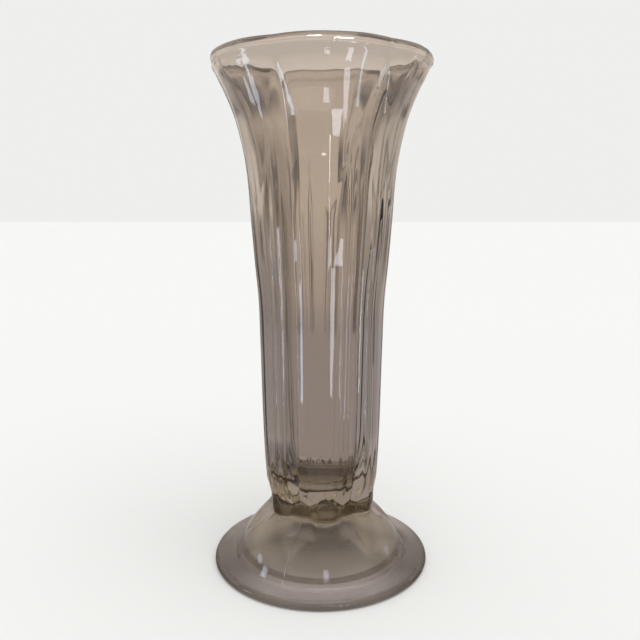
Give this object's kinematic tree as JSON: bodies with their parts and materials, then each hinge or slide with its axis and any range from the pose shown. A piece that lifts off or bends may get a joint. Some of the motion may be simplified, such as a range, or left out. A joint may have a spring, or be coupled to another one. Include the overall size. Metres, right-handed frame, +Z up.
{
  "type": "vase",
  "caption": "Pressed-glass bud vase with a petalled flaring mouth, faceted column, pinched waist and round domed foot",
  "frame": {"origin": "centre of the circle that the foot rests on, at table height", "axes": "+Z up along the vase's axis; -Y is the side seen in the picture; +X is to the right of it"},
  "size_m": [0.1016, 0.1016, 0.23],
  "materials": {
    "bowl_glass": "smoke-taupe tinted pressed glass, fire-polished, with fine mould ripple",
    "foot_glass": "the same tinted pressed glass, thicker, with mould seams and a worn resting ring"
  },
  "bodies": {
    "root": {"bowl": "bowl_glass", "foot": "foot_glass"}
  },
  "joints": []
}
